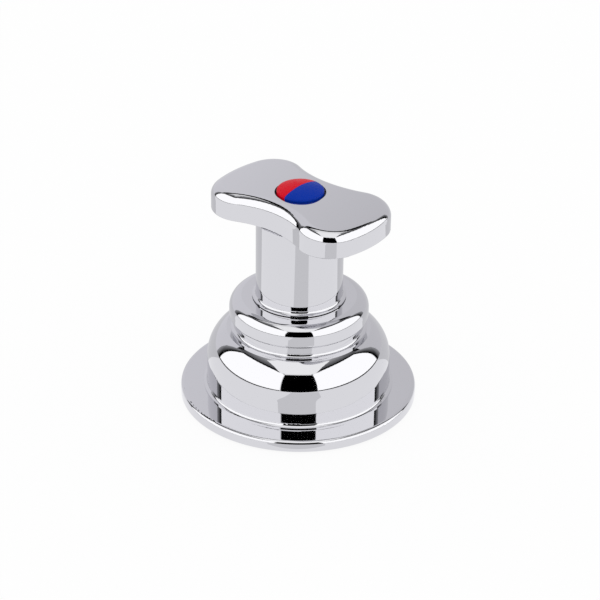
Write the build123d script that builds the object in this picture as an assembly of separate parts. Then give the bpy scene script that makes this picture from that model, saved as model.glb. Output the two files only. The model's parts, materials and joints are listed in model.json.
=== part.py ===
"""Wall-mounted shower mixer valve: a two-lobed wing handle on a stepped round cover.

Millimetres. The valve's axis is +Z and the wall plane is Z = 0, with the origin at the centre of the flange's
back. +Y is up on the wall. Heights are measured from the wall, radii from the axis.
"""

import os
from math import asin, atan2, cos, degrees, hypot, radians, sin, sqrt

from build123d import *

# Clearances
running_gap = 0.05          # between faces that slide on each other
fit_gap = 0.15              # between pieces pushed together by hand
thread_gap = 0.05           # between the crests of mating threads
handle_gap = 0.3            # under the foot of the turning hub

# Wall flange
flange_radius = 45.0
flange_height = 4.1
flange_edge_radius = 1.4
flange_plate = 1.8
flange_rim_width = 5.0
locating_ring_height = 3.0
locating_ring_wall = 1.5
gasket_width = 2.8
gasket_depth = 1.5
gasket_rim_margin = 1.6

# Dome cover
dome_radius = 34.9
dome_sheet = 1.2
dome_height = 23.8          # from the flange to the flat top
dome_straight_height = 10.7
dome_ledge = 1.6            # flat left between the collar's foot and the shoulder
shoulder_lean = 5.1         # run of the shoulder's ellipse that the flat top cuts off
foot_radius = 1.3           # hollow curve at the foot of dome, collar and hub
foot_lip = 0.4              # edge left under that curve

# Collar ring
collar_neck_radius = 24.5
collar_neck_height = 4.5
collar_radius = 26.35
collar_rim_height = 8.8
collar_top_radius = 4.6
collar_under_radius = 1.7
collar_web = 3.0

# Valve body
body_gap = 1.05             # round the body, inside the flange's locating ring
body_base = 5.0
port_radius = 9.3           # wall of a G1/2 internal thread
port_circle_radius = 15.0
port_thread_length = 10.0
port_end_depth = 1.2
port_end_step = 0.7
port_wall = 3.0
port_cap = 2.0
port_angles = {"outlet": 270, "cold": 30, "hot": 150}
wall_screw_hole_radius = 2.25
wall_screw_inset = 4.5      # from the body's edge to the centre of a wall screw
wall_screw_count = 3
wall_screw_start = 90
core_radius = 19.8
seat_height = 16.0          # floor of the cartridge chamber
neck_radius = 21.5
neck_thread_length = 5.0    # thread that the collar takes
chamber_radius = 17.5
nut_thread_radius = 18.8
thread_relief = 0.4         # under the nut's thread
neck_groove_depth = 1.1
neck_ring_section = 0.68

# Water ways
inlet_way_radius = 3.5
inlet_way_circle = 11.0
outlet_way_radius = 3.0
outlet_way_circle = 9.5
disc_inlet_radius = 2.8
disc_inlet_circle = 9.2
outlet_pocket_radius = 4.5
mixing_pocket_radius = 12.0
mixing_pocket_start = 250     # angle of the pocket's first edge with the valve shut
mixing_pocket_sweep = 120
mixing_pocket_depth = 2.0

# Cartridge
base_stand_off = 0.2
base_thickness = 4.0
base_way_step = 2.0
seal_wall = 1.4
seal_recess = 1.2
pin_radius = 1.5
pin_length = 2.5
pin_circle_radius = 13.5
pin_angles = (210, 330)
disc_radius = 13.6
fixed_disc_thickness = 3.5
moving_disc_thickness = 3.5
moving_disc_radius = 13.0
key_width = 3.0
key_depth = 1.2
key_height = 1.3
carrier_thickness = 3.0
spindle_collar_radius = 8.2
spindle_collar_thickness = 2.2
spindle_radius = 5.0
spindle_square = 7.0
spindle_square_length = 15.0
tang_length = 2.6
washer_thickness = 0.55
case_shoulder_height = 11.0     # above the floor of the chamber
case_top_radius = 15.6
case_roof = 2.5
case_boss_radius = 9.5
case_boss_height = 4.5
groove_width = 1.8
groove_depth = 1.0

# Stop ring and the handle's travel
handle_travel = 160
stop_ring_radius = 13.6
stop_ring_base = 1.5
stop_ring_wall = 2.6
stop_lug_angle = 20
stop_lug_play = 1           # degrees at each end of the travel

# Retaining nut
nut_across_flats = 36.0
nut_hex_height = 3.5

# Spline adapter
adapter_plate_radius = 13.6
adapter_plate = 2.2
adapter_radius = 8.0
adapter_lift = 0.6          # over the boss of the cartridge
spline_teeth = 12
spline_tooth_radius = 0.8
spline_length = 12.0

# Hub
hub_radius = 16.4
hub_wall = 2.2
hub_length = 32.2
spigot_length = 4.1
spigot_step = 0.4
glide_wall = 1.0
glide_flange = 1.9
glide_flange_thickness = 1.0

# Wing
wing_angle = -41.3          # turn of the long axis from +X with the valve shut
wing_thickness = 10.9
wing_half_length = 34.4
wing_half_waist = 15.4
wing_corner_radius = 12.6
wing_end_radius = 45.0
wing_waist_radius = 37.0
wing_edge_radius = 4.2
wing_under_radius = 0.6
wing_crown_drop = 1.5       # fall of the top face from the middle to each end

# Handle screw, size M5
screw_radius = 2.45
screw_hole_radius = 2.75
screw_head_radius = 4.5
screw_head_height = 2.4
screw_socket_flats = 4.0
screw_socket_depth = 1.5
screw_web = 2.5
screw_engagement = 10.0

# Index button
recess_radius = 9.5
recess_depth = 5.6
recess_chamfer = 0.1
index_base_thickness = 2.4
cap_radius = 8.8
cap_rise = 1.0              # of the cap's rim over the middle of the wing
cap_crown = 1.6
cap_edge_radius = 1.0
cap_split = 0.04
peg_radius = 0.9
peg_length = 1.6
peg_circle_radius = 5.5
peg_half_spread = 50

# Inlet filter washers
filter_thickness = 0.8
filter_hole_radius = 0.55
filter_hole_pitch = 1.9
filter_rim = 1.6

# Heights that follow from the sizes above
dome_spring = flange_height + dome_straight_height
dome_top = flange_height + dome_height
collar_foot = collar_neck_radius + foot_radius
dome_crest = collar_foot + dome_ledge
shoulder_centre = dome_crest - shoulder_lean
shoulder_width = dome_radius - shoulder_centre
shoulder_height = (dome_top - dome_spring) / sqrt(1 - (shoulder_lean / shoulder_width) ** 2)
locating_ring_radius = dome_radius - dome_sheet - fit_gap
locating_ring_bore = locating_ring_radius - locating_ring_wall
body_radius = locating_ring_bore - body_gap
wall_screw_circle_radius = body_radius - wall_screw_inset
neck_top = dome_top + neck_thread_length
collar_under = dome_top + collar_neck_height
collar_top = collar_under + collar_rim_height
collar_cavity_radius = neck_radius + thread_gap
port_depth = port_thread_length + port_end_depth
port_end_radius = port_radius - port_end_step
shoulder = seat_height + case_shoulder_height
base_bottom = seat_height + base_stand_off
base_top = base_bottom + base_thickness
fixed_disc_top = base_top + fixed_disc_thickness
moving_disc_bottom = fixed_disc_top + running_gap
moving_disc_top = moving_disc_bottom + moving_disc_thickness
carrier_top = moving_disc_top + carrier_thickness
spindle_collar_top = carrier_top + spindle_collar_thickness
washer_bottom = spindle_collar_top + running_gap
case_ceiling = washer_bottom + washer_thickness
case_roof_top = case_ceiling + case_roof
case_boss_top = case_roof_top + case_boss_height
case_radius = chamber_radius - fit_gap
case_bore_radius = disc_radius + fit_gap
spindle_bore_radius = spindle_radius + running_gap
groove_radius = spindle_radius - groove_depth
groove_height = (case_roof_top + case_boss_top) / 2
stop_base_top = case_roof_top + stop_ring_base
spindle_square_bottom = case_boss_top + adapter_lift / 2
spindle_top = spindle_square_bottom + spindle_square_length
adapter_bottom = case_boss_top + adapter_lift
adapter_plate_top = adapter_bottom + adapter_plate
hub_bottom = collar_top + handle_gap
spigot_bottom = hub_bottom - spigot_length
spigot_radius = hub_radius - spigot_step
hub_bore_radius = hub_radius - hub_wall
glide_bore_radius = spigot_radius + running_gap
glide_radius = glide_bore_radius + glide_wall
wing_bottom = hub_bottom + hub_length
wing_top = wing_bottom + wing_thickness
recess_floor = wing_top - recess_depth
screw_seat = recess_floor - screw_head_height - fit_gap
adapter_top = screw_seat - screw_web
socket_bottom = adapter_top - spline_length
screw_bottom = spindle_top - screw_engagement
index_base_top = recess_floor + index_base_thickness
cap_rim = wing_top + cap_rise
cap_top = cap_rim + cap_crown
split_angle = wing_angle + 90


def curve_face(*edges):
    """Face in the upright plane through the axis, from edges drawn as (radius, height)."""
    return Plane.XZ * make_face(list(edges))


def turned(*edges):
    """Solid of revolution about the axis, from edges drawn as (radius, height)."""
    return revolve(curve_face(*edges), Axis.Z)


def turned_polygon(*points):
    return turned(Polyline(*points, close=True))


def ring(inner, outer, low, high):
    """Plain ring about the axis."""
    return turned_polygon((inner, low), (outer, low), (outer, high), (inner, high))


def drum(radius, low, high, at=(0, 0)):
    """Plain upright cylinder standing at a point."""
    return Pos(at[0], at[1], (low + high) / 2) * Cylinder(radius, high - low)


def block(size_x, size_y, low, high, at=(0, 0)):
    """Plain upright block standing at a point."""
    return Pos(at[0], at[1], (low + high) / 2) * Box(size_x, size_y, high - low)


def polar(radius, angle):
    return (radius * cos(radians(angle)), radius * sin(radians(angle)))


def sector(inner, outer, low, high, start, sweep):
    """Part of a ring that begins at an angle and runs anticlockwise."""
    profile = curve_face(Polyline((inner, low), (outer, low), (outer, high), (inner, high), close=True))
    return Rot(0, 0, start) * revolve(profile, Axis.Z, sweep)


def foot_curve(radius, height):
    """Hollow quarter curve from an upright wall down to a lip that lies on the face below."""
    return CenterArc((radius + foot_radius, height + foot_lip + foot_radius), foot_radius, 180, 90)


def key_pair(inner, outer, width, low, high):
    """Two square keys on opposite sides."""
    middle = (inner + outer) / 2
    return [block(outer - inner, width, low, high, at=(side * middle, 0)) for side in (1, -1)]


def make_wall_flange():
    rim_inner = flange_radius - flange_rim_width
    groove_outer = flange_radius - gasket_rim_margin
    groove_inner = groove_outer - gasket_width
    edge_start = flange_height - flange_edge_radius
    edge = CenterArc((flange_radius - flange_edge_radius, edge_start), flange_edge_radius, 0, 90)
    outline = Polyline(
        edge @ 1,
        (locating_ring_radius, flange_height),
        (locating_ring_radius, flange_height + locating_ring_height),
        (locating_ring_bore, flange_height + locating_ring_height),
        (locating_ring_bore, flange_height - flange_plate),
        (rim_inner, flange_height - flange_plate),
        (rim_inner, 0),
        (groove_inner, 0),
        (groove_inner, gasket_depth),
        (groove_outer, gasket_depth),
        (groove_outer, 0),
        (flange_radius, 0),
        edge @ 0,
    )
    return turned(edge, outline)


def make_wall_gasket():
    outer = flange_radius - gasket_rim_margin
    return ring(outer - gasket_width, outer, 0, gasket_depth)


def shoulder_curve(sheet):
    """Elliptic shoulder of the dome, drawn inwards by a thickness, from its spring up to the flat top."""
    across = shoulder_width - sheet
    rise = shoulder_height - sheet
    sweep = degrees(asin((dome_top - sheet - dome_spring) / rise))
    return EllipticalCenterArc((shoulder_centre, dome_spring), across, rise, 0, arc_size=sweep)


def make_dome_cover():
    bore = neck_radius + neck_ring_section / 2
    inner = dome_radius - dome_sheet
    foot = foot_curve(dome_radius, flange_height)
    outside = shoulder_curve(0)
    inside = shoulder_curve(dome_sheet)
    lip = Polyline(foot @ 1, (dome_radius + foot_radius, flange_height), (inner, flange_height), inside @ 0)
    seat = Polyline(outside @ 1, (bore, dome_top), (bore, dome_top - dome_sheet), inside @ 1)
    wall = Line(foot @ 0, outside @ 0)
    return turned(foot, wall, outside, seat, inside, lip)


def make_collar_ring():
    bore = glide_radius + thread_gap
    foot = foot_curve(collar_neck_radius, dome_top)
    under = CenterArc(
        (collar_radius - collar_under_radius, collar_under + collar_under_radius), collar_under_radius, 270, 90
    )
    edge = CenterArc((collar_radius - collar_top_radius, collar_top - collar_top_radius), collar_top_radius, 0, 90)
    neck = Polyline(foot @ 0, (collar_neck_radius, collar_under), under @ 0)
    inside = Polyline(
        edge @ 1,
        (bore, collar_top),
        (bore, collar_top - collar_web),
        (collar_cavity_radius, collar_top - collar_web),
        (collar_cavity_radius, dome_top),
        (collar_foot, dome_top),
        foot @ 1,
    )
    return turned(foot, neck, under, Line(under @ 1, edge @ 0), edge, inside)


def make_glide_ring():
    """Guides the hub's spigot, with a flange that bears under the collar's web."""
    web_bottom = collar_top - collar_web
    return turned_polygon(
        (glide_bore_radius, web_bottom - glide_flange_thickness),
        (glide_radius + glide_flange, web_bottom - glide_flange_thickness),
        (glide_radius + glide_flange, web_bottom),
        (glide_radius, web_bottom),
        (glide_radius, collar_top - fit_gap),
        (glide_bore_radius, collar_top - fit_gap),
    )


def way_positions():
    """Name, centre and radius of each water way in the floor of the chamber."""
    for name, angle in port_angles.items():
        if name == "outlet":
            yield name, polar(outlet_way_circle, angle), outlet_way_radius
        else:
            yield name, polar(inlet_way_circle, angle), inlet_way_radius


def make_valve_body():
    body = drum(body_radius, 0, body_base) + drum(core_radius, 0, seat_height)
    boss_top = port_depth + port_cap
    for angle in port_angles.values():
        body += drum(port_radius + port_wall, 0, boss_top, at=polar(port_circle_radius, angle))
    body += drum(neck_radius, boss_top, neck_top)
    body -= drum(chamber_radius, seat_height, neck_top)
    body -= drum(nut_thread_radius, shoulder - thread_relief, neck_top)
    for angle in port_angles.values():
        centre = polar(port_circle_radius, angle)
        body -= drum(port_radius, 0, port_thread_length, at=centre)
        body -= drum(port_end_radius, port_thread_length, port_depth, at=centre)
    for _, centre, radius in way_positions():
        body -= drum(radius, port_depth, seat_height, at=centre)
    for angle in pin_angles:
        body -= drum(pin_radius + fit_gap, seat_height - pin_length, seat_height, at=polar(pin_circle_radius, angle))
    for index in range(wall_screw_count):
        angle = wall_screw_start + index * 360 / wall_screw_count
        body -= drum(wall_screw_hole_radius, 0, body_base, at=polar(wall_screw_circle_radius, angle))
    ring_height = dome_top - dome_sheet / 2
    half_groove = neck_ring_section + running_gap
    body -= ring(neck_radius - neck_groove_depth, neck_radius, ring_height - half_groove, ring_height + half_groove)
    return body


def make_neck_o_ring():
    radius = neck_radius - neck_groove_depth + neck_ring_section + running_gap / 2
    return Pos(0, 0, dome_top - dome_sheet / 2) * Torus(radius, neck_ring_section)


def make_inlet_filter():
    """Perforated washer at the end of an inlet's thread, drawn on the valve's axis."""
    radius = port_end_radius - running_gap
    washer = drum(radius, port_depth - filter_thickness, port_depth)
    reach = radius - filter_rim
    steps = int(reach / filter_hole_pitch)
    for column in range(-steps, steps + 1):
        for row in range(-steps, steps + 1):
            centre = (column * filter_hole_pitch, row * filter_hole_pitch)
            if hypot(*centre) < reach:
                washer -= drum(filter_hole_radius, port_depth - filter_thickness, port_depth, at=centre)
    return washer


def make_inlet_filters():
    washer = make_inlet_filter()
    places = [polar(port_circle_radius, port_angles[name]) for name in ("cold", "hot")]
    return Compound(children=[Pos(x, y, 0) * washer for x, y in places])


def make_port_seals():
    """One rubber ring round each water way, from the chamber's floor into the cartridge base."""
    top = base_bottom + seal_recess
    rings = [
        Pos(x, y, 0) * ring(radius, radius + seal_wall, seat_height, top) for _, (x, y), radius in way_positions()
    ]
    return Compound(children=rings)


def disc_ways(low, high):
    """The water ways as they meet the ceramic discs: a round hole for each inlet, a slot for the outlet."""
    ways = [drum(disc_inlet_radius, low, high, at=polar(disc_inlet_circle, port_angles[n])) for n in ("cold", "hot")]
    angle = port_angles["outlet"]
    ways += [drum(outlet_way_radius, low, high, at=polar(outlet_way_circle, angle))]
    return ways


def make_cartridge_base():
    base = drum(case_radius, base_bottom, base_top)
    for _, centre, radius in way_positions():
        base -= drum(radius, base_bottom, base_bottom + base_way_step, at=centre)
        base -= drum(radius + seal_wall + running_gap, base_bottom, base_bottom + seal_recess, at=centre)
    for way in disc_ways(base_bottom + base_way_step, base_top):
        base -= way
    for angle in pin_angles:
        base += drum(pin_radius, base_bottom - pin_length + fit_gap, base_bottom, at=polar(pin_circle_radius, angle))
    for key in key_pair(disc_radius - key_depth + fit_gap, disc_radius, key_width - fit_gap, base_top,
                        base_top + key_height):
        base += key
    return base


def make_fixed_disc():
    disc = drum(disc_radius, base_top, fixed_disc_top)
    for way in disc_ways(base_top, fixed_disc_top):
        disc -= way
    slot_middle = polar(outlet_way_circle / 2, port_angles["outlet"])
    disc -= drum(outlet_way_radius, base_top, fixed_disc_top)
    disc -= block(2 * outlet_way_radius, outlet_way_circle, base_top, fixed_disc_top, at=slot_middle)
    for key in key_pair(disc_radius - key_depth, disc_radius + key_depth, key_width, base_top, base_top + key_height
                        + fit_gap):
        disc -= key
    return disc


def make_moving_disc():
    """Shut at rest: the pocket lies clear of both inlets until the handle turns."""
    disc = drum(moving_disc_radius, moving_disc_bottom, moving_disc_top)
    pocket_top = moving_disc_bottom + mixing_pocket_depth
    disc -= drum(outlet_pocket_radius, moving_disc_bottom, pocket_top)
    disc -= sector(0, mixing_pocket_radius, moving_disc_bottom, pocket_top, mixing_pocket_start, mixing_pocket_sweep)
    for key in key_pair(moving_disc_radius - key_depth, moving_disc_radius + key_depth, key_width,
                        moving_disc_top - key_height, moving_disc_top):
        disc -= key
    return disc


def make_disc_carrier():
    carrier = drum(moving_disc_radius, moving_disc_top, carrier_top)
    hole = spindle_square + fit_gap
    carrier -= block(hole, hole, carrier_top - tang_length - fit_gap, carrier_top)
    for key in key_pair(moving_disc_radius - key_depth + fit_gap, moving_disc_radius, key_width - fit_gap,
                        moving_disc_top - key_height + fit_gap, moving_disc_top):
        carrier += key
    return carrier


def make_spindle():
    spindle = drum(spindle_collar_radius, carrier_top, spindle_collar_top)
    spindle += block(spindle_square, spindle_square, carrier_top - tang_length, carrier_top)
    spindle += drum(spindle_radius, spindle_collar_top, spindle_square_bottom)
    spindle += block(spindle_square, spindle_square, spindle_square_bottom, spindle_top)
    spindle -= ring(groove_radius, spindle_radius, groove_height - groove_width / 2, groove_height + groove_width / 2)
    spindle -= drum(screw_radius + thread_gap, screw_bottom - screw_radius, spindle_top)
    return spindle


def make_spindle_o_ring():
    section = groove_depth / 2
    return Pos(0, 0, groove_height) * Torus(spindle_radius - section, section)


def make_thrust_washer():
    return ring(spindle_radius + handle_gap, spindle_collar_radius, washer_bottom, case_ceiling)


def make_cartridge_housing():
    case = drum(case_radius, base_top, shoulder) + drum(case_top_radius, shoulder, case_roof_top)
    case += drum(case_boss_radius, case_roof_top, case_boss_top)
    case -= drum(case_bore_radius, base_top, case_ceiling)
    case -= drum(spindle_bore_radius, case_ceiling, case_boss_top)
    case += block(key_depth, key_width, case_roof_top, stop_base_top, at=(-case_boss_radius - key_depth / 2 + fit_gap, 0))
    return case


def make_stop_ring():
    """C-shaped wall whose two ends stop the adapter's lug at off and at full hot."""
    inner = case_boss_radius + fit_gap
    stop = ring(inner, stop_ring_radius, case_roof_top, stop_base_top)
    stop -= block(2 * key_depth, key_width + fit_gap, case_roof_top, stop_base_top, at=(-inner - key_depth / 2, 0))
    free_angle = handle_travel + stop_lug_angle + 2 * stop_lug_play
    start = handle_travel + stop_lug_angle / 2 + stop_lug_play
    wall_inner = stop_ring_radius - stop_ring_wall
    stop += sector(wall_inner, stop_ring_radius, stop_base_top, case_boss_top, start, 360 - free_angle)
    return stop


def make_retaining_nut():
    hexagon = extrude(RegularPolygon(nut_across_flats / 2, 6, major_radius=False), nut_hex_height)
    nut = drum(nut_thread_radius - thread_gap, shoulder, neck_top) + Pos(0, 0, neck_top) * hexagon
    return nut - drum(case_top_radius + fit_gap, shoulder, neck_top + nut_hex_height)


def spline_grooves(radius, low, high):
    """Round grooves shared by the adapter's column and the socket in the hub."""
    pitch = 360 / spline_teeth
    return [drum(radius, low, high, at=polar(adapter_radius, index * pitch)) for index in range(spline_teeth)]


def make_spline_adapter():
    adapter = drum(adapter_plate_radius, adapter_bottom, adapter_plate_top)
    adapter += drum(adapter_radius, adapter_plate_top, adapter_top - fit_gap)
    lug_bottom = stop_base_top + handle_gap
    lug_inner = stop_ring_radius - stop_ring_wall
    adapter += sector(lug_inner, adapter_plate_radius, lug_bottom, adapter_bottom, -stop_lug_angle / 2, stop_lug_angle)
    hole = spindle_square + fit_gap
    adapter -= block(hole, hole, adapter_bottom, spindle_top + handle_gap)
    adapter -= drum(screw_hole_radius, spindle_top, adapter_top)
    for groove in spline_grooves(spline_tooth_radius, socket_bottom, adapter_top):
        adapter -= groove
    return adapter


def wing_quarter():
    """Centres of the arcs of one quarter of the wing, and the angles at which they meet."""
    end = (wing_half_length - wing_end_radius, 0)
    waist = (0, wing_half_waist + wing_waist_radius)
    from_end = wing_end_radius - wing_corner_radius
    from_waist = wing_waist_radius + wing_corner_radius
    across, up = waist[0] - end[0], waist[1] - end[1]
    span = hypot(across, up)
    along = (from_end**2 - from_waist**2 + span**2) / (2 * span)
    aside = sqrt(from_end**2 - along**2)
    corner = (
        end[0] + (across * along + up * aside) / span,
        end[1] + (up * along - across * aside) / span,
    )
    end_angle = degrees(atan2(corner[1] - end[1], corner[0] - end[0]))
    waist_angle = degrees(atan2(waist[1] - corner[1], waist[0] - corner[0]))
    return end, waist, corner, end_angle, waist_angle


def wing_outline():
    """Two lobes with a broad rounded end each, drawn in by a hollow waist on both sides."""
    end, waist, corner, end_angle, waist_angle = wing_quarter()
    half_waist_sweep = waist_angle - 90
    arcs = []
    for turn in (0, 180):
        half = [
            CenterArc(end, wing_end_radius, -end_angle, 2 * end_angle),
            CenterArc(corner, wing_corner_radius, end_angle, waist_angle - end_angle),
            CenterArc(waist, wing_waist_radius, 270 - half_waist_sweep, 2 * half_waist_sweep),
            CenterArc((-corner[0], corner[1]), wing_corner_radius, 180 - waist_angle, waist_angle - end_angle),
        ]
        arcs += [Rot(0, 0, turn) * arc for arc in half]
    return make_face(arcs)


def make_wing():
    """The wing alone, along +X, with its top face gently crowned."""
    plate = Pos(0, 0, wing_bottom) * extrude(wing_outline(), wing_thickness + wing_edge_radius)
    crown_radius = (wing_half_length**2 + wing_crown_drop**2) / (2 * wing_crown_drop)
    crown = Pos(0, 0, wing_top - crown_radius) * Rot(90, 0, 0) * Cylinder(crown_radius, 4 * wing_half_length)
    wing = plate & crown
    middle = wing_bottom + wing_thickness / 2
    top_edges = wing.edges().filter_by(lambda edge: edge.bounding_box().min.Z > middle)
    wing = fillet(top_edges, wing_edge_radius)
    low_edges = wing.edges().filter_by(lambda edge: edge.bounding_box().max.Z < wing_bottom + fit_gap)
    return fillet(low_edges, wing_under_radius)


def make_hub():
    foot = foot_curve(hub_radius, hub_bottom)
    inside = Polyline(
        (hub_radius, wing_bottom),
        (0, wing_bottom),
        (0, socket_bottom),
        (hub_bore_radius, socket_bottom),
        (hub_bore_radius, spigot_bottom),
        (spigot_radius, spigot_bottom),
        (spigot_radius, hub_bottom),
        (hub_radius + foot_radius, hub_bottom),
        foot @ 1,
    )
    return turned(foot, Line(foot @ 0, (hub_radius, wing_bottom)), inside)


def make_wing_handle():
    handle = Rot(0, 0, wing_angle) * make_wing() + make_hub()
    socket = drum(adapter_radius + fit_gap, socket_bottom, adapter_top)
    for tooth in spline_grooves(spline_tooth_radius - fit_gap, socket_bottom, adapter_top):
        socket -= tooth
    handle -= socket
    handle -= drum(screw_hole_radius, adapter_top, screw_seat)
    handle -= drum(screw_head_radius + fit_gap, screw_seat, recess_floor)
    handle -= drum(recess_radius, recess_floor, wing_top)
    mouth = turned_polygon(
        (0, wing_top - recess_chamfer),
        (recess_radius, wing_top - recess_chamfer),
        (recess_radius + 2 * recess_chamfer, wing_top + recess_chamfer),
        (0, wing_top + recess_chamfer),
    )
    return handle - mouth


def make_handle_screw():
    screw = drum(screw_radius, screw_bottom, screw_seat)
    screw += drum(screw_head_radius, screw_seat, screw_seat + screw_head_height)
    socket = extrude(RegularPolygon(screw_socket_flats / 2, 6, major_radius=False), screw_socket_depth)
    return screw - Pos(0, 0, screw_seat + screw_head_height - screw_socket_depth) * socket


def peg_places(side):
    """Centres of the two pegs of one half of the index."""
    middle = split_angle + side * 90
    return [polar(peg_circle_radius, middle + spread) for spread in (-peg_half_spread, peg_half_spread)]


def make_index_base():
    base = drum(recess_radius - fit_gap, recess_floor, index_base_top)
    for side in (1, -1):
        for centre in peg_places(side):
            base -= drum(peg_radius + running_gap, index_base_top - peg_length - fit_gap, index_base_top, at=centre)
    return base


def make_index_half(side):
    """Half of the domed cap: side 1 is red, side -1 is blue."""
    crown_radius = (cap_radius**2 + cap_crown**2) / (2 * cap_crown)
    dome = drum(cap_radius, index_base_top, cap_top) & Pos(0, 0, cap_top - crown_radius) * Sphere(crown_radius)
    rims = dome.edges().filter_by(lambda edge: edge.is_closed).sort_by(Axis.Z)
    cap = fillet(rims[-1], cap_edge_radius)
    half = 2 * cap_radius
    keep = Rot(0, 0, split_angle) * block(half, half, index_base_top, cap_top, at=(0, side * (half + cap_split) / 2))
    piece = cap & keep
    for centre in peg_places(side):
        piece += drum(peg_radius, index_base_top - peg_length, index_base_top, at=centre)
    return piece


nodes = {
    "wall_flange": make_wall_flange(),
    "wall_gasket": make_wall_gasket(),
    "dome_cover": make_dome_cover(),
    "collar_ring": make_collar_ring(),
    "glide_ring": make_glide_ring(),
    "valve_body": make_valve_body(),
    "neck_o_ring": make_neck_o_ring(),
    "inlet_filters": make_inlet_filters(),
    "port_seals": make_port_seals(),
    "cartridge_base": make_cartridge_base(),
    "fixed_disc": make_fixed_disc(),
    "moving_disc": make_moving_disc(),
    "disc_carrier": make_disc_carrier(),
    "spindle": make_spindle(),
    "spindle_o_ring": make_spindle_o_ring(),
    "thrust_washer": make_thrust_washer(),
    "cartridge_housing": make_cartridge_housing(),
    "stop_ring": make_stop_ring(),
    "retaining_nut": make_retaining_nut(),
    "spline_adapter": make_spline_adapter(),
    "wing_handle": make_wing_handle(),
    "handle_screw": make_handle_screw(),
    "index_base": make_index_base(),
    "index_red": make_index_half(1),
    "index_blue": make_index_half(-1),
}

os.makedirs("parts", exist_ok=True)
for name, shape in nodes.items():
    export_step(shape, f"parts/{name}.step")
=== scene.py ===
import json
from math import cos, radians, sin

import bpy
from mathutils import Matrix, Vector

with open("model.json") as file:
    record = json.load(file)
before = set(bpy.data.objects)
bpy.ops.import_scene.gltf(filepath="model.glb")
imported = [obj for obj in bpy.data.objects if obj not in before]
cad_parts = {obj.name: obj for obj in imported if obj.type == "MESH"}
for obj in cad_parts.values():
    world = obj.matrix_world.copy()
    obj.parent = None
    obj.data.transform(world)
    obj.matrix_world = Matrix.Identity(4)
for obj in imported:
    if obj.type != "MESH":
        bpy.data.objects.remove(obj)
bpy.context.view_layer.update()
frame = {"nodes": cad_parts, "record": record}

scene = bpy.context.scene
scene.view_settings.view_transform = "Standard"
nodes = frame["nodes"]

# Camera, in metres, degrees and pixels
picture_size = 600
camera_distance = 0.887
camera_elevation = 31.8
camera_roll = 0.7
focal_pixels = 2300.0
origin_pixel = (299.1, 387.5)
sensor_width = 36.0             # millimetres, as Blender wants it
clip_near = 0.05
clip_far = 50.0

# Colours of the finishes
white = (1.0, 1.0, 1.0)
black = (0.0, 0.0, 0.0)
chrome_tint = (0.690, 0.689, 0.712)
chrome_shade = 0.985            # the darker parts of the chrome, as a share of its tint
brass_dark = (0.55, 0.38, 0.14)
brass_pale = (0.74, 0.55, 0.25)
steel_dark = (0.50, 0.50, 0.51)
steel_pale = (0.64, 0.64, 0.65)
rubber_dark = (0.012, 0.012, 0.013)
rubber_pale = (0.03, 0.03, 0.03)
ceramic_dark = (0.84, 0.82, 0.76)
ceramic_pale = (0.92, 0.91, 0.86)
enamel_specular = 0.05          # low, so that red and blue don't wash out

# Usual reach of a noise
noise_low = 0.3
noise_high = 0.7

# Sockets of a Mix node that mixes colours
mix_first = 6
mix_second = 7
mix_result = 2

# Light and colours of the studio
softbox_light = 1.42
overhead_light = 1.15
backdrop_left = (0.79, 0.785, 0.825)
backdrop_right = (0.68, 0.675, 0.705)
shade_pale = (0.5, 0.5, 0.52)
ceiling_dark = (0.05, 0.05, 0.055)
ceiling_pale = (0.8, 0.8, 0.82)
table_colour = (0.98, 0.98, 1.0)
table_back_colour = (0.70, 0.70, 0.72)
# painted shade: colour of the darker strip on the table in front of the valve, which only reflections show
table_painted_shade_colour = (0.76, 0.76, 0.78)
floor_colour = (0.93, 0.93, 0.93)
floor_lit_share = 0.1           # share of the floor's look that takes light, and so the shadow

# Studio cards, in metres and degrees
card_foot = -0.1
softbox_turn = 67
softbox_distance = 1.2
softbox_half = 1.22
softbox_low = 0.055
softbox_high = 1.85
frame_high = 2.15
frame_side = 0.7
frame_lead = 0.01               # the upper and lower frames stand this much in front of the softbox
shade_starts = 0.75
shade_ends = 1.35
ceiling_fade_starts = 2.0
ceiling_high = 6.0
ceiling_share = 0.45            # reach past the softbox's middle towards the camera, in half widths
gap_distance = 1.1
gap_left = -0.41
gap_right = 0.46
gap_high = 1.25
backdrop_turn = 180
backdrop_half = 2.0
backdrop_fade = 0.15
backdrop_high = 1.9
backdrop_frame_high = 3.1
overhead_half = 0.55
overhead_near = -1.1
overhead_far = 0.1
overhead_height = 1.4
table_half = 1.3
table_height = -0.0003
table_back_height = -0.0002
table_back_corners = [(0, 0), (1.02, 0.41), (1.2, 1.2), (-1.2, 1.2), (-1.02, 0.41)]
# Painted shade: height and outline of the darker strip on the table in front of the valve
painted_shade_height = -0.0001
painted_shade_corners = [(-0.013, -0.047), (-0.021, -0.062), (-0.022, -0.1), (-0.06, -0.45),
                       (0.19, -0.45), (0.031, -0.078), (0.018, -0.062), (0.012, -0.047)]
floor_half = 6
floor_height = -0.001


def colour(rgb):
    return (*rgb, 1.0)


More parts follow.
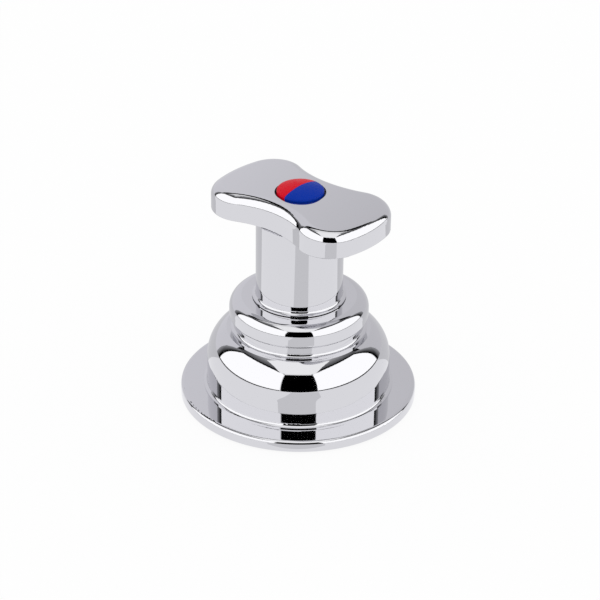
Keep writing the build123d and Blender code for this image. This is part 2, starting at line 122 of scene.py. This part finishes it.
class Finish:
    """A node material built step by step."""

    def __init__(self, name):
        self.material = bpy.data.materials.new(name)
        self.material.use_nodes = True
        self.tree = self.material.node_tree
        self.shader = self.tree.nodes["Principled BSDF"]
        self.place = self.tree.nodes.new("ShaderNodeTexCoord").outputs["Object"]

    def node(self, kind, **inputs):
        made = self.tree.nodes.new(kind)
        for key, value in inputs.items():
            self.feed(made.inputs[key], value)
        return made

    def feed(self, socket, value):
        if isinstance(value, bpy.types.NodeSocket):
            self.tree.links.new(value, socket)
        else:
            socket.default_value = value

    def set(self, **inputs):
        for key, value in inputs.items():
            self.feed(self.shader.inputs[key.replace("_", " ")], value)

    def noise(self, scale, detail=2.0, stretch=(1, 1, 1)):
        place = self.node("ShaderNodeMapping", Vector=self.place, Scale=stretch)
        made = self.node("ShaderNodeTexNoise", Vector=place.outputs[0], Scale=scale, Detail=detail)
        return made.outputs["Fac"]

    def spread(self, value, low, high):
        """Maps the usual reach of a noise onto a range."""
        made = self.node("ShaderNodeMapRange", Value=value)
        made.inputs["From Min"].default_value = noise_low
        made.inputs["From Max"].default_value = noise_high
        made.inputs["To Min"].default_value = low
        made.inputs["To Max"].default_value = high
        return made.outputs["Result"]

    def blend(self, value, first, second):
        made = self.tree.nodes.new("ShaderNodeMix")
        made.data_type = "RGBA"
        self.feed(made.inputs[0], value)
        self.feed(made.inputs[mix_first], colour(first))
        self.feed(made.inputs[mix_second], colour(second))
        return made.outputs[mix_result]

    def bump(self, height, distance, strength):
        made = self.node("ShaderNodeBump", Height=height, Distance=distance, Strength=strength)
        self.feed(self.shader.inputs["Normal"], made.outputs[0])


def chrome():
    """Polished plating with the faintest waviness and a trace of haze."""
    made = Finish("polished_chrome")
    shade = [chrome_shade * part for part in chrome_tint]
    made.set(Metallic=1.0, Base_Color=made.blend(made.noise(scale=35.0), shade, chrome_tint))
    made.set(Roughness=made.spread(made.noise(scale=60.0, detail=4.0), low=0.025, high=0.05))
    made.bump(made.noise(scale=90.0, detail=1.0), distance=0.00002, strength=0.15)
    return made.material


def brass():
    made = Finish("machined_brass")
    made.set(Metallic=1.0, Base_Color=made.blend(made.noise(scale=120.0, detail=6.0), brass_dark, brass_pale))
    turned = made.noise(scale=300.0, detail=3.0, stretch=(1, 1, 8))
    made.set(Roughness=made.spread(turned, low=0.22, high=0.4))
    grooves = made.noise(scale=900.0, detail=2.0, stretch=(0.4, 0.4, 6))
    made.bump(grooves, distance=0.00005, strength=0.4)
    return made.material


def steel():
    made = Finish("stainless_steel")
    made.set(Metallic=1.0, Base_Color=made.blend(made.noise(scale=150.0, detail=5.0), steel_dark, steel_pale))
    turned = made.noise(scale=400.0, detail=3.0, stretch=(1, 1, 5))
    made.set(Roughness=made.spread(turned, low=0.2, high=0.38))
    made.bump(made.noise(scale=1200.0, detail=2.0), distance=0.00003, strength=0.3)
    return made.material


def rubber():
    made = Finish("black_rubber")
    made.set(Base_Color=made.blend(made.noise(scale=250.0, detail=5.0), rubber_dark, rubber_pale))
    made.set(Roughness=made.spread(made.noise(scale=500.0, detail=4.0), low=0.6, high=0.8))
    made.bump(made.noise(scale=2500.0, detail=3.0), distance=0.00006, strength=0.5)
    return made.material


def ceramic():
    made = Finish("lapped_ceramic")
    made.set(Base_Color=made.blend(made.noise(scale=200.0, detail=5.0), ceramic_dark, ceramic_pale))
    made.set(Roughness=made.spread(made.noise(scale=700.0, detail=4.0), low=0.12, high=0.22))
    made.bump(made.noise(scale=2000.0, detail=2.0), distance=0.00002, strength=0.2)
    return made.material


def plastic(name, low, high, rough):
    """Moulded plastic between two colours, with a fine grain."""
    made = Finish(name)
    made.set(Base_Color=made.blend(made.noise(scale=180.0, detail=4.0), low, high))
    made.set(Roughness=made.spread(made.noise(scale=350.0, detail=4.0), low=rough, high=rough + 0.12))
    made.bump(made.noise(scale=1800.0, detail=3.0), distance=0.00003, strength=0.4)
    return made.material


def enamel(name, low, high):
    """Glossy coloured half of the index, between two close colours."""
    made = Finish(name)
    made.set(Base_Color=made.blend(made.noise(scale=140.0, detail=3.0), low, high))
    made.set(Roughness=made.spread(made.noise(scale=300.0, detail=3.0), low=0.3, high=0.38))
    made.set(Specular_IOR_Level=enamel_specular)
    made.bump(made.noise(scale=260.0, detail=2.0), distance=0.00001, strength=0.1)
    return made.material


finishes = {
    "chrome": chrome(),
    "brass": brass(),
    "steel": steel(),
    "rubber": rubber(),
    "ceramic": ceramic(),
    "white_plastic": plastic("white_acetal", (0.78, 0.78, 0.75), (0.86, 0.86, 0.83), rough=0.35),
    "black_plastic": plastic("black_acetal", (0.006, 0.006, 0.006), (0.014, 0.014, 0.014), rough=0.4),
    "red_plastic": enamel("red_enamel", (0.62, 0.001, 0.012), (0.66, 0.002, 0.017)),
    "blue_plastic": enamel("blue_enamel", (0.001, 0.028, 0.33), (0.002, 0.034, 0.37)),
}


def dress_nodes():
    slots = {part["node"]: part["material_slot"] for part in frame["record"]["subparts"]}
    for name, piece in nodes.items():
        piece.data.materials.clear()
        piece.data.materials.append(finishes[slots[name]])


def stage_material(name, strength, first, second=None, axis=None, low=None, high=None):
    """Even light of one colour, or one that changes to a second between two places along an axis."""
    material = bpy.data.materials.new(name)
    material.use_nodes = True
    tree = material.node_tree
    tree.nodes.clear()
    glow = tree.nodes.new("ShaderNodeEmission")
    glow.inputs["Strength"].default_value = strength
    glow.inputs["Color"].default_value = colour(first)
    if second:
        place = tree.nodes.new("ShaderNodeTexCoord").outputs["Object"]
        parts = tree.nodes.new("ShaderNodeSeparateXYZ")
        span = tree.nodes.new("ShaderNodeMapRange")
        span.inputs["From Min"].default_value = low
        span.inputs["From Max"].default_value = high
        mix = tree.nodes.new("ShaderNodeMix")
        mix.data_type = "RGBA"
        mix.inputs[mix_first].default_value = colour(first)
        mix.inputs[mix_second].default_value = colour(second)
        tree.links.new(place, parts.inputs[0])
        tree.links.new(parts.outputs[axis], span.inputs["Value"])
        tree.links.new(span.outputs["Result"], mix.inputs[0])
        tree.links.new(mix.outputs[mix_result], glow.inputs["Color"])
    out = tree.nodes.new("ShaderNodeOutputMaterial")
    tree.links.new(glow.outputs[0], out.inputs["Surface"])
    return material


def card(name, corners, material):
    """A flat card of the studio that only the metal's reflections show."""
    mesh = bpy.data.meshes.new(name)
    mesh.from_pydata([Vector(corner) for corner in corners], [], [tuple(range(len(corners)))])
    piece = bpy.data.objects.new(name, mesh)
    scene.collection.objects.link(piece)
    piece.data.materials.append(material)
    piece.visible_camera = False
    piece.visible_diffuse = False
    piece.visible_shadow = False


def panel(name, turn, distance, left, right, low, high, material):
    """Upright card: turn is the side it stands on, 0 towards the camera and positive to the right."""
    out = Vector((sin(radians(turn)), -cos(radians(turn)), 0)) * distance
    along = Vector((cos(radians(turn)), sin(radians(turn)), 0))
    up = Vector((0, 0, 1))
    corners = [out + along * left + up * low, out + along * right + up * low,
               out + along * right + up * high, out + along * left + up * high]
    card(name, corners, material)


def level(name, low_x, high_x, low_y, high_y, height, material):
    """Level card at a height."""
    outline = [(low_x, low_y), (high_x, low_y), (high_x, high_y), (low_x, high_y)]
    card(name, at_height(outline, height), material)


def at_height(outline, height):
    return [(x, y, height) for x, y in outline]


def build_softbox(side, light, flag, shade, ceiling):
    """Softbox left (-1) or right (1) of the camera, its frame, and the ceiling over it."""
    turn = side * softbox_turn
    front = softbox_distance - frame_lead
    outer = side * softbox_half
    framed = side * (softbox_half + frame_side)
    near = -ceiling_share * outer
    panel("softbox", turn, softbox_distance, -softbox_half, softbox_half, softbox_low, softbox_high, light)
    panel("softbox_frame_low", turn, front, -softbox_half, softbox_half, card_foot, softbox_low, flag)
    panel("softbox_frame_top", turn, front, -softbox_half, softbox_half, softbox_high, frame_high, flag)
    left, right = sorted((outer, framed))
    panel("softbox_frame_side", turn, softbox_distance, left, right, card_foot, frame_high, shade)
    left, right = sorted((near, framed))
    panel("ceiling_fade", turn, softbox_distance, left, right, frame_high, ceiling_high, ceiling)


def build_studio():
    light = stage_material("softbox_white", softbox_light, white)
    flag = stage_material("flag_black", 1.0, black)
    shade = stage_material("flag_shade", 1.0, black, shade_pale, "Y", shade_starts, shade_ends)
    overhead = stage_material("overhead_white", overhead_light, white)
    back = stage_material("backdrop_grey", 1.0, backdrop_left, backdrop_right,
                          "X", -backdrop_fade, backdrop_fade)
    ceiling = stage_material("ceiling_fade", 1.0, ceiling_dark, ceiling_pale,
                             "Z", ceiling_fade_starts, ceiling_high)
    table = stage_material("table_white", 1.0, table_colour)
    table_back = stage_material("table_back_grey", 1.0, table_back_colour)
    # the darker strip on the table in front of the valve is painted shade
    painted_shade_material = stage_material("table_painted_shade", 1.0, table_painted_shade_colour)
    for side in (-1, 1):
        build_softbox(side, light, flag, shade, ceiling)
    panel("camera_gap", 0, gap_distance, gap_left, gap_right, card_foot, gap_high, flag)
    panel("backdrop", backdrop_turn, softbox_distance, -backdrop_half, backdrop_half,
          card_foot, backdrop_high, back)
    panel("backdrop_frame", backdrop_turn, softbox_distance, -backdrop_half, backdrop_half,
          backdrop_high, backdrop_frame_high, flag)
    level("overhead", -overhead_half, overhead_half, overhead_near, overhead_far, overhead_height, overhead)
    level("table", -table_half, table_half, -table_half, table_half, table_height, table)
    card("table_back", at_height(table_back_corners, table_back_height), table_back)
    # painted shade strip on the table in front of the valve, seen only in reflections
    card("table_painted_shade", at_height(painted_shade_corners, painted_shade_height), painted_shade_material)


def floor_material():
    material = bpy.data.materials.new("floor_white")
    material.use_nodes = True
    tree = material.node_tree
    tree.nodes.clear()
    path = tree.nodes.new("ShaderNodeLightPath")
    shown = tree.nodes.new("ShaderNodeMath")
    shown.operation = "MAXIMUM"
    either = tree.nodes.new("ShaderNodeMath")
    either.operation = "MAXIMUM"
    tree.links.new(path.outputs["Is Camera Ray"], either.inputs[0])
    tree.links.new(path.outputs["Is Glossy Ray"], either.inputs[1])
    tree.links.new(either.outputs[0], shown.inputs[0])
    tree.links.new(path.outputs["Is Transmission Ray"], shown.inputs[1])
    glow = tree.nodes.new("ShaderNodeEmission")
    plain = tree.nodes.new("ShaderNodeBsdfDiffuse")
    plain.inputs["Color"].default_value = colour(floor_colour)
    lit = tree.nodes.new("ShaderNodeMixShader")
    lit.inputs[0].default_value = floor_lit_share
    tree.links.new(glow.outputs[0], lit.inputs[1])
    tree.links.new(plain.outputs[0], lit.inputs[2])
    mix = tree.nodes.new("ShaderNodeMixShader")
    tree.links.new(shown.outputs[0], mix.inputs[0])
    tree.links.new(plain.outputs[0], mix.inputs[1])
    tree.links.new(lit.outputs[0], mix.inputs[2])
    side = tree.nodes.new("ShaderNodeNewGeometry")
    clear = tree.nodes.new("ShaderNodeBsdfTransparent")
    open_below = tree.nodes.new("ShaderNodeMixShader")
    tree.links.new(side.outputs["Backfacing"], open_below.inputs[0])
    tree.links.new(mix.outputs[0], open_below.inputs[1])
    tree.links.new(clear.outputs[0], open_below.inputs[2])
    out = tree.nodes.new("ShaderNodeOutputMaterial")
    tree.links.new(open_below.outputs[0], out.inputs["Surface"])
    return material


def build_floor():
    """Pale floor that keeps the object's shadow, and is clear when seen from below."""
    mesh = bpy.data.meshes.new("floor")
    outline = [(-floor_half, -floor_half), (floor_half, -floor_half),
               (floor_half, floor_half), (-floor_half, floor_half)]
    mesh.from_pydata(at_height(outline, floor_height), [], [(0, 1, 2, 3)])
    floor = bpy.data.objects.new("floor", mesh)
    scene.collection.objects.link(floor)
    floor.visible_glossy = False
    mesh.materials.append(floor_material())


def build_world():
    world = bpy.data.worlds.new("studio")
    scene.world = world
    world.use_nodes = True
    background = world.node_tree.nodes["Background"]
    background.inputs["Color"].default_value = colour(white)
    background.inputs["Strength"].default_value = 1.0


def build_camera():
    """Camera that looks past the valve's foot, so that the foot's centre falls on its pixel of the photo."""
    data = bpy.data.cameras.new("camera")
    data.sensor_width = sensor_width
    data.lens = focal_pixels / picture_size * data.sensor_width
    data.clip_start = clip_near
    data.clip_end = clip_far
    camera = bpy.data.objects.new("camera", data)
    scene.collection.objects.link(camera)
    rise = radians(camera_elevation)
    back = Vector((0, -cos(rise), sin(rise)))
    right = Vector((1, 0, 0))
    up = back.cross(right)
    middle = picture_size / 2
    aim = -back * focal_pixels + right * (middle - origin_pixel[0]) + up * (origin_pixel[1] - middle)
    new_back = -aim.normalized()
    new_right = up.cross(new_back).normalized()
    new_up = new_back.cross(new_right)
    tilt = radians(camera_roll)
    rolled_right = new_right * cos(tilt) + new_up * sin(tilt)
    rolled_up = new_up * cos(tilt) - new_right * sin(tilt)
    turn = Matrix((rolled_right, rolled_up, new_back)).transposed()
    camera.matrix_world = Matrix.Translation(back * camera_distance) @ turn.to_4x4()
    scene.camera = camera


dress_nodes()
build_studio()
build_floor()
build_world()
build_camera()
